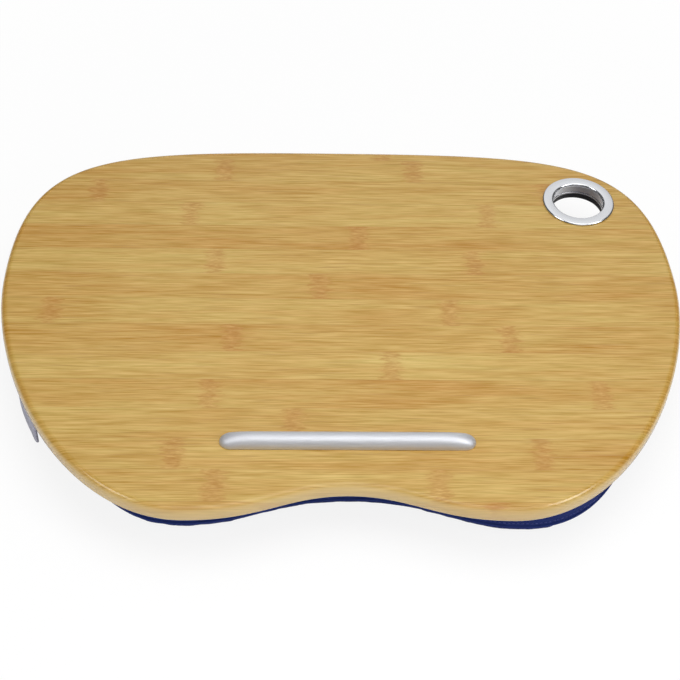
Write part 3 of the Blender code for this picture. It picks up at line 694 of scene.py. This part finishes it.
def fill_cushion(cushion, held_places):
    """Swells the closed cover by cloth simulation, held at its seams and tabs, under the board and below."""
    most, hold_reach = 0.0055, 0.0035
    remesh = cushion.modifiers.new("remesh", "REMESH")
    remesh.mode = "VOXEL"
    remesh.voxel_size = 0.005
    apply_modifiers(cushion)
    start = [v.co.copy() for v in cushion.data.vertices]
    held = cushion.vertex_groups.new(name="held")
    for index, place in enumerate(start):
        distance = held_places.find(place)[2]
        weight = max(0.0, min(1.0, 1.6 - distance / hold_reach))
        if place.z > CUSHION_TOP - 0.0008 or place.z < 0.0014:
            weight = 1.0
        if weight > 0.0:
            held.add([index], weight, "REPLACE")
    settings = cushion.modifiers.new("fill", "CLOTH").settings
    settings.vertex_group_mass = "held"
    settings.use_pressure = True
    settings.uniform_pressure_force = 12.0
    settings.effector_weights.gravity = 0.0
    settings.quality = 5
    settings.mass = 0.25
    settings.tension_stiffness = settings.compression_stiffness = 12.0
    settings.bending_stiffness = 0.4
    for step in range(1, 21):
        bpy.context.scene.frame_set(step)
    apply_modifiers(cushion)
    bpy.context.scene.frame_set(1)
    for vert, first in zip(cushion.data.vertices, start):
        move = vert.co - first
        if move.length > most:
            move *= most / move.length
        place = first + move
        place.z = min(max(place.z, 0.0005), CUSHION_TOP - 0.0002)
        vert.co = place


def smooth_evenly(mesh, passes):
    """Takes out the voxel steps. Each pass smooths, then swells as much, so that the form keeps its size."""
    count = len(mesh.vertices)
    flat = np.empty(count * 3)
    mesh.vertices.foreach_get("co", flat)
    places = flat.reshape(count, 3)
    ends = np.empty(len(mesh.edges) * 2, dtype=int)
    mesh.edges.foreach_get("vertices", ends)
    first, second = ends.reshape(-1, 2).T
    neighbours = np.bincount(ends, minlength=count)[:, None]
    for factor in (0.5, -0.53) * passes:
        total = np.zeros_like(places)
        np.add.at(total, first, places[second])
        np.add.at(total, second, places[first])
        places += factor * (total / neighbours - places)
    places[:, 2] = np.clip(places[:, 2], 0.0004, CUSHION_TOP - 0.0002)
    mesh.vertices.foreach_set("co", places.ravel())
    mesh.update()


def pucker(mesh, seams):
    """Small gathers that run away from both seams, deepest at the stitches."""
    normals = [v.normal.copy() for v in mesh.vertices]
    for vert, normal in zip(mesh.vertices, normals):
        place = vert.co
        near, _, distance = seams.find(place)
        if distance < 0.020 and 0.001 < place.z < CUSHION_TOP - 0.0015:
            along = noise.noise(Vector((place.x * 95, place.y * 95, near.z * 400)))
            fine = noise.noise(Vector((place.x * 210, place.y * 210, 7.0 + near.z * 400)))
            depth = (0.0006 * along + 0.0003 * fine) * math.exp(-((distance - 0.004) / 0.007) ** 2)
            vert.co = place + normal * depth


def lengths_along(points):
    """How far along a run of points each one lies."""
    lengths = [0.0]
    for a, b in zip(points, points[1:]):
        lengths.append(lengths[-1] + (b - a).length)
    return lengths


def search_tree(places):
    """A tree that finds the nearest of these places."""
    tree = kdtree.KDTree(len(places))
    for index, place in enumerate(places):
        tree.insert(place, index)
    tree.balance()
    return tree


def write_weave(mesh, line):
    """UV map in metres: along the outline and up the side, or straight across on top and underneath."""
    tree = search_tree(line)
    lengths = lengths_along(line)
    total = lengths[-1] + (line[0] - line[-1]).length
    uv = mesh.uv_layers.new(name="weave")
    run = [lengths[tree.find(Vector((v.co.x, v.co.y, 0.0)))[1]] for v in mesh.vertices]
    for polygon in mesh.polygons:
        flat = abs(polygon.normal.z) > 0.75
        first = run[polygon.vertices[0]]
        for loop in polygon.loop_indices:
            vert = mesh.vertices[mesh.loops[loop].vertex_index]
            onward = (run[vert.index] - first + total / 2) % total - total / 2
            uv.data[loop].uv = (vert.co.x, vert.co.y) if flat else (first + onward, vert.co.z)


def seam_line(inset, z):
    """Places along a seam of the cushion, all the way round."""
    bm = bmesh.new()
    face = flat_face(bm, cushion_points(SEAM_STEPS), z)
    if inset:
        inset_face(bm, face, inset)
    places = [v.co.copy() for v in face.verts]
    bm.free()
    return places


def build_piping(height, places, cloth):
    """A cord in a bias-cut sleeve, sewn in all round the cushion."""
    name = "dressed_piping_" + height
    curve = bpy.data.curves.new(name, "CURVE")
    curve.dimensions = "3D"
    curve.bevel_depth = PIPING_RADIUS
    curve.bevel_resolution = 3
    spline = curve.splines.new("POLY")
    spline.points.add(len(places) - 1)
    for point, place in zip(spline.points, places):
        point.co = (*place, 1.0)
    spline.use_cyclic_u = True
    bm = bmesh.new()
    bm.from_mesh(curve_mesh(name, curve))
    bmesh.ops.remove_doubles(bm, verts=bm.verts, dist=0.00001)
    bmesh.ops.recalc_face_normals(bm, faces=bm.faces)
    new_piece(name, bm, "cushion", (cloth,), ("cushion_piping_" + height,), sharp=60.0)


def stitch_row(bm, places, pitch, length, radius):
    """Adds a row of stitches along these (place, upward) pairs, each a short thread sunk in at both ends."""
    ball = bmesh.new()
    bmesh.ops.create_icosphere(ball, subdivisions=1, radius=1.0)
    spots = [v.co.copy() for v in ball.verts]
    corners = [[v.index for v in f.verts] for f in ball.faces]
    ball.free()
    travelled, due = 0.0, 0.0
    for (a, up_a), (b, _) in zip(places, places[1:]):
        step = b - a
        span = step.length
        while due <= travelled + span and span > 0:
            middle = a + step * ((due - travelled) / span)
            side = step.normalized()
            across = side.cross(up_a).normalized()
            turn = Matrix((side, across, up_a)).transposed().to_4x4()
            shape = Matrix.Translation(middle) @ turn @ Matrix.Diagonal((length / 2, radius, radius, 1.0))
            verts = [bm.verts.new(shape @ spot) for spot in spots]
            for corner in corners:
                bm.faces.new([verts[i] for i in corner])
            due += pitch
        travelled += span


def build_cushion(cloth, piping_cloth, thread):
    """The cushion cover, its two piped seams and the stitches beside them. Returns the cover to search."""
    low_line = seam_line(0.0009, SEAM_LOW)
    high_line = seam_line(SEAM_HIGH_INSET, SEAM_HIGH)
    cushion = new_piece("cushion_cover", cushion_start(), "cushion", (cloth,),
                        ("cushion_bottom_panel", "cushion_gusset", "cushion_top_panel", "cushion_filling"),
                        sharp=70.0)
    fill_cushion(cushion, search_tree(low_line + high_line + strap_tabs()))
    mesh = cushion.data
    bm = bmesh.new()
    bm.from_mesh(mesh)
    bmesh.ops.subdivide_edges(bm, edges=bm.edges, cuts=1, use_grid_fill=True, smooth=0.0)
    bm.to_mesh(mesh)
    bm.free()
    smooth_evenly(mesh, 5)
    pucker(mesh, search_tree(low_line + high_line))
    mesh.shade_smooth()
    write_weave(mesh, [Vector((p.x, p.y, 0.0)) for p in low_line])
    mesh.materials.clear()
    mesh.materials.append(cloth)

    build_piping("bottom", low_line, piping_cloth)
    build_piping("top", high_line, piping_cloth)

    surface = BVHTree.FromObject(cushion, bpy.context.evaluated_depsgraph_get())
    bm = bmesh.new()
    for z in (SEAM_LOW + 0.0042, SEAM_LOW - 0.0040, SEAM_HIGH - 0.0042):
        row = []
        for place in seam_line(0.0, z):
            hit, normal, _, _ = surface.find_nearest(place)
            row.append((hit + normal * 0.00012, normal))
        row.append(row[0])
        stitch_row(bm, row, pitch=0.0036, length=0.0025, radius=0.00028)
    new_piece("seam_stitches", bm, "cushion", (thread,), sharp=60.0)
    return surface


def left_flank_point(points, y, inset):
    """The point on an outline's left flank at this Y, moved in square to the outline."""
    flank = [p for p in points if p.x < -0.06]
    for a, b in zip(flank, flank[1:]):
        if a.y >= y >= b.y:
            along = (b - a).normalized()
            return a.lerp(b, (a.y - y) / (a.y - b.y)) + Vector((-along.y, along.x, 0.0)) * inset
    raise ValueError("the left flank doesn't reach this Y")


# Strap: how far its outer run stays behind the board's edge, at each share of the loop's length
STRAP_FRONT_Y = -0.1096
STRAP_REAR_Y = 0.0241
STRAP_TAB = 0.026
STRAP_OUTER_RUN = ((0.0, 0.0025), (0.075, 0.0024), (0.177, 0.0023), (0.312, 0.0029),
                   (0.499, 0.0051), (0.723, 0.0073), (0.910, 0.0087), (1.0, 0.0102))


def strap_tabs():
    """Where both sewn tabs touch the cushion's side, at three heights."""
    gusset = cushion_points(EDGE_STEPS)
    touching = []
    for start in (STRAP_FRONT_Y + STRAP_TAB, STRAP_REAR_Y - 2 * STRAP_TAB):
        for step in range(9):
            place = left_flank_point(gusset, start + STRAP_TAB * step / 8, 0.0009)
            touching += [Vector((*place.xy, z)) for z in (0.022, 0.030, 0.038)]
    return touching


def strap_path():
    """The strap's middle line seen from above, from one sewn end round the loop to the other."""
    board = outline_points(BOARD_OUTLINE, EDGE_STEPS)
    gusset = cushion_points(EDGE_STEPS)
    sewn = -GAP - STRAP_THICKNESS / 2
    front_tab, rear_tab = STRAP_FRONT_Y + STRAP_TAB, STRAP_REAR_Y - STRAP_TAB
    turn = 0.0007

    def turned_in(y, inset, sewn_y, back):
        return [left_flank_point(board, y - back * turn, inset + turn),
                left_flank_point(board, y + back * turn, inset + 2 * turn),
                left_flank_point(board, y + back * 0.007, inset + 2 * turn + GAP),
                left_flank_point(board, y + (sewn_y - y) * 0.62, inset + 0.0107)]

    path = [left_flank_point(gusset, front_tab + d, sewn) for d in (STRAP_TAB, STRAP_TAB / 2, 0.0)]
    path += reversed(turned_in(STRAP_FRONT_Y, STRAP_OUTER_RUN[0][1], front_tab, 1.0))
    path += [left_flank_point(board, STRAP_FRONT_Y + share * (STRAP_REAR_Y - STRAP_FRONT_Y), inset)
             for share, inset in STRAP_OUTER_RUN]
    path += turned_in(STRAP_REAR_Y, STRAP_OUTER_RUN[-1][1], rear_tab, -1.0)
    path += [left_flank_point(gusset, rear_tab - d, sewn) for d in (0.0, STRAP_TAB / 2, STRAP_TAB)]
    return path


def strap_line():
    """Places along the strap's middle line, bent smoothly, with none closer than 0.4 mm."""
    path = strap_path()
    curve = bpy.data.curves.new("strap_line", "CURVE")
    curve.dimensions = "3D"
    curve.resolution_u = 14
    spline = curve.splines.new("BEZIER")
    spline.bezier_points.add(len(path) - 1)
    for index, (knot, place) in enumerate(zip(spline.bezier_points, path)):
        sewn = index < 3 or index > len(path) - 4
        knot.co = place
        knot.handle_left_type = knot.handle_right_type = "VECTOR" if sewn else "AUTO"
    places = [v.co.copy() for v in curve_mesh("strap_line", curve).vertices]
    spaced = places[:1]
    for place in places[1:]:
        if (place - spaced[-1]).length > 0.0004:
            spaced.append(place)
    return spaced


def build_strap(webbing, thread, cover):
    """The webbing band: soft edges, hairpin folds, its sewn tabs laid on the cushion's side."""
    line = strap_line()
    lengths = lengths_along(line)

    # The section is a flat band with round edges, as (across the thickness, up the width)
    half, edge = STRAP_WIDTH / 2, STRAP_THICKNESS / 2
    section = []
    for sign in (1, -1):
        section += [(sign * r, sign * z) for r, z in arc(0.0, half - edge, edge, 0, 180, 4)]
        section += [(-sign * edge, sign * (half - edge) * (1 - i / 4)) for i in range(1, 8)]
    bm = bmesh.new()
    weave = bm.loops.layers.uv.new("weave")
    weave_places = {}
    rings = []
    for index, place in enumerate(line):
        along = (line[min(index + 1, len(line) - 1)] - line[max(index - 1, 0)]).normalized()
        side = Vector((-along.y, along.x, 0.0))
        ring = []
        for across, up in section:
            ring.append(bm.verts.new(place + side * across + Vector((0.0, 0.0, STRAP_MIDDLE_Z + up))))
            weave_places[ring[-1]] = (lengths[index], up)
        rings.append(ring)
    hoops = [[bm.edges.new(pair) for pair in zip(ring, ring[1:] + ring[:1])] for ring in rings]
    for hoop, next_hoop in zip(hoops, hoops[1:]):
        bmesh.ops.bridge_loops(bm, edges=hoop + next_hoop)
    for face in bm.faces:
        for loop in face.loops:
            loop[weave].uv = weave_places[loop.vert]
    for hoop in (hoops[0], hoops[-1]):
        bmesh.ops.edgeloop_fill(bm, edges=hoop)
    bmesh.ops.recalc_face_normals(bm, faces=bm.faces)

    # Both tabs lean with the cushion's side
    for centre, length, ring in zip(line, lengths, rings):
        from_end = min(length, lengths[-1] - length)
        hold = max(0.0, min(1.0, (0.040 - from_end) / 0.014))
        if hold <= 0.0:
            continue
        for vert in ring:
            hit, normal, _, _ = cover.find_nearest(Vector((centre.x, centre.y, vert.co.z)))
            target = hit + Vector((normal.x, normal.y, 0.0)).normalized() * (STRAP_THICKNESS / 2 + 0.0002)
            vert.co += Vector((target.x - centre.x, target.y - centre.y, 0.0)) * hold
    strap = new_piece("dressed_carry_strap", bm, "cushion", (webbing,), ("carry_strap",),
                      sharp=60.0)
    stitch_tabs(strap, line, thread)


def stitch_tabs(strap, line, thread):
    """A box of stitches with both diagonals on each tab."""
    bm = bmesh.new()
    skin = BVHTree.FromObject(strap, bpy.context.evaluated_depsgraph_get())
    near, far = 0.002, 0.021
    low, high = STRAP_MIDDLE_Z - 0.0095, STRAP_MIDDLE_Z + 0.0095
    corners = [(near, low), (far, low), (far, high), (near, high), (near, low), (far, high), (far, low),
               (near, high)]
    for run in (line, line[::-1]):
        row = []
        for (d0, z0), (d1, z1) in zip(corners, corners[1:]):
            for share in (i / 12 for i in range(12)):
                base = point_along(run, d0 + (d1 - d0) * share)
                outside = Vector((base.x - 0.010, base.y, z0 + (z1 - z0) * share))
                hit, normal, _, _ = skin.ray_cast(outside, Vector((1.0, 0.0, 0.0)))
                if hit is not None:
                    row.append((hit + normal * 0.0001, normal))
        stitch_row(bm, row, pitch=0.0030, length=0.0022, radius=0.00028)
    new_piece("strap_stitches", bm, "cushion", (thread,), sharp=60.0)


def point_along(run, distance):
    """The place this far along a run of points."""
    for a, b in zip(run, run[1:]):
        span = (b - a).length
        if distance <= span:
            return a.lerp(b, distance / span)
        distance -= span
    return run[-1]


def tape_patch(kind, place, middle, body, material):
    """A patch of hook or loop tape with round corners."""
    thick = PATCH_SIZE[2]
    bm = bmesh.new()
    bmesh.ops.create_cube(bm, size=1.0)
    bmesh.ops.scale(bm, verts=bm.verts, vec=PATCH_SIZE)
    bmesh.ops.translate(bm, verts=bm.verts, vec=middle)
    upright = [e for e in bm.edges if abs(e.verts[0].co.z - e.verts[1].co.z) > thick / 2]
    bevel(bm, upright, 0.004, 8)
    rim = [e for e in bm.edges if len(e.link_faces) == 2
           and abs(e.link_faces[0].normal.dot(e.link_faces[1].normal)) < 0.1
           and abs(e.verts[0].co.z - e.verts[1].co.z) < thick / 4]
    bevel(bm, rim, 0.0003, 2)
    new_piece("dressed_" + kind + "_patch_" + place, bm, body, (material,),
              (kind + "_patch_" + place,), sharp=50.0)


def build_patches(hook, loop, thread):
    """Hook patches glued under the board and loop patches sewn to the cushion round their hems."""
    long, wide, thick = PATCH_SIZE
    hem = 0.003
    inx, iny = long / 2 - hem, wide / 2 - hem
    under_board, on_cushion = BOARD_LOW - GAP - thick / 2, CUSHION_TOP + GAP + thick / 2
    up = Vector((0.0, 0.0, 1.0))
    for row, y in zip(("front_", "back_"), PATCH_ROWS):
        for side, x in (("left", -PATCH_X), ("right", PATCH_X)):
            tape_patch("hook", row + side, (x, y, under_board), "tray", hook)
            tape_patch("loop", row + side, (x, y, on_cushion), "cushion", loop)
            bm = bmesh.new()
            corners = [Vector((x + sx * inx, y + sy * iny, on_cushion + thick / 2))
                       for sx, sy in ((-1, -1), (1, -1), (1, 1), (-1, 1), (-1, -1))]
            stitch_row(bm, [(place, up) for place in corners], pitch=0.0030, length=0.0022, radius=0.00014)
            new_piece("patch_stitches_" + row + side, bm, "cushion", (thread,), sharp=60.0)


def photo_camera():
    """The camera where the photograph was taken from, with the same lens and tilt."""
    elevation, roll, yaw = (math.radians(a) for a in (46.712, 2.694, -3.158))
    distance, focal_pixels, frame_pixels = 1.2043, 1439.0, 680.0
    target = Vector((-0.00329, -0.02348, BOARD_LOW))
    turn = Matrix.Rotation(yaw, 4, "Z") @ Matrix.Rotation(math.pi / 2 - elevation, 4, "X")
    turn @= Matrix.Rotation(roll, 4, "Z")
    data = bpy.data.cameras.new("photo_camera")
    data.sensor_width = 36.0
    data.lens = data.sensor_width * focal_pixels / frame_pixels
    camera = linked("photo_camera", data)
    camera.matrix_world = Matrix.Translation(target) @ turn @ Matrix.Translation((0.0, 0.0, distance))
    bpy.context.scene.camera = camera


def soft_lamp(name, place, aim, size, watts):
    """A round softbox. Reflections of it are in the surroundings, so it's hidden from them itself."""
    data = bpy.data.lights.new(name, "AREA")
    data.shape = "DISK"
    data.size = size
    data.energy = watts
    lamp = linked(name, data)
    lamp.location = place
    lamp.rotation_euler = (Vector(aim) - Vector(place)).to_track_quat("-Z", "Y").to_euler()
    lamp.visible_glossy = False


WHITE = (1.0, 1.0, 1.0, 1.0)


def seen_directly(add):
    """1 where the lens sees the surface by itself or through something clear, and 0 elsewhere."""
    path = add("LightPath")
    return add("Math", {0: path.outputs["Is Camera Ray"], 1: path.outputs["Is Transmission Ray"]},
               operation="MAXIMUM")


def floor_material():
    """White paper. To the lens it also shines by itself, more so farther out, so that it reads as white."""
    material, add, shader = new_material("white_paper_floor", Base_Color=WHITE, Roughness=0.9,
                                         Specular_IOR_Level=0.0)
    away = add("VectorMath", {0: add("TexCoord").outputs["Object"]}, operation="LENGTH")
    share = add("MapRange", {0: away, 1: 0.30, 2: 0.80, 3: 0.86})
    share = add("Math", {0: seen_directly(add), 1: share}, operation="MULTIPLY")
    glow = add("Emission", {"Color": WHITE, "Strength": 1.0})
    both = add("MixShader", {0: share, 1: shader, 2: glow})
    fill_inputs(material.node_tree.nodes["Material Output"], {"Surface": both})
    return material


# Softboxes as reflections show them: the way to each, the cosines at its rim and its full part, its strength
PANELS = (((0.06, -0.17, 0.984), 0.91, 0.97, 1.1), ((0.58, -0.21, 0.787), 0.968, 0.988, 7.5),
          ((-0.60, -0.16, 0.784), 0.972, 0.990, 5.0))


def surroundings():
    """White to the lens. Reflections see a white wall behind, darker sides and the softboxes."""
    world = bpy.data.worlds.new("white_studio")
    bpy.context.scene.world = world
    world.use_nodes = True
    world.node_tree.nodes.clear()
    add = partial(node, world.node_tree)
    way = add("TexCoord").outputs["Generated"]
    parts = add("SeparateXYZ", {0: way})
    beside = add("Math", {0: parts.outputs["X"], 1: 0.10}, operation="SUBTRACT")
    beside = add("Math", {0: beside}, operation="ABSOLUTE")
    wall = add("MapRange", {0: beside, 1: 0.10, 2: 0.50, 3: 1.0, 4: 0.12}, interpolation_type="SMOOTHSTEP")
    high = add("MapRange", {0: parts.outputs["Z"], 1: 0.60, 2: 0.76, 3: 0.72})
    front = add("MapRange", {0: parts.outputs["Y"], 1: 0.1, 2: -0.7, 3: 1.0, 4: 0.50})
    wall = add("Math", {0: wall, 1: high}, operation="MULTIPLY")
    mirrored = add("Math", {0: wall, 1: front}, operation="MULTIPLY")
    for towards, rim, full, strength in PANELS:
        near = add("VectorMath", {0: way, 1: towards}, operation="DOT_PRODUCT")
        panel = add("MapRange", {0: near, 1: rim, 2: full, 4: strength})
        mirrored = add("Math", {0: mirrored, 1: panel}, operation="ADD")
    glossy = add("LightPath").outputs["Is Glossy Ray"]
    strength = add("Mix", {0: glossy, 2: 0.40, 3: mirrored})
    strength = add("Mix", {0: seen_directly(add), 2: strength, 3: 1.0})
    sky = add("Background", {"Color": WHITE, "Strength": strength})
    add("OutputWorld", {"Surface": sky}).is_active_output = True


def studio():
    """Pale floor, white surroundings and soft lamps overhead, on both sides and low in front."""
    bpy.context.scene.view_settings.view_transform = "Standard"
    bm = bmesh.new()
    bmesh.ops.create_grid(bm, x_segments=1, y_segments=1, size=6.0)
    floor = linked("floor", mesh_of("floor", bm))
    floor.data.materials.append(floor_material())
    surroundings()
    soft_lamp("overhead_softbox", (0.07, -0.14, 1.15), (0.02, -0.02, 0.05), 0.9, 8.3)
    soft_lamp("right_softbox", (1.3, -0.65, 0.95), (0.0, 0.0, 0.05), 0.5, 3.6)
    soft_lamp("left_softbox", (-1.3, -0.65, 0.95), (0.0, 0.0, 0.05), 0.5, 1.6)
    soft_lamp("front_reflector", (0.1, -1.2, 0.46), (0.0, -0.2, 0.03), 0.6, 1.3)


photo_camera()
studio()
build_board()
build_cup_ring()
build_lock_ring()
build_ledge_bar()
build_screws()
cover_surface = build_cushion(woven_cloth("navy_woven_polyester", "141D4F", "283A7E", 0.02),
                              woven_cloth("navy_bias_piping", "182256", "2E4188", 0.03),
                              spun_thread("navy_sewing_thread", "3A4590"))
build_strap(grey_webbing(), spun_thread("grey_sewing_thread", "9A9AAA"), cover_surface)
build_patches(fleecy_tape("black_hook_tape", "151517", 900.0, 0.0005),
              fleecy_tape("black_loop_tape", "1B1B1E", 1500.0, 0.0004),
              spun_thread("black_sewing_thread", "202024"))
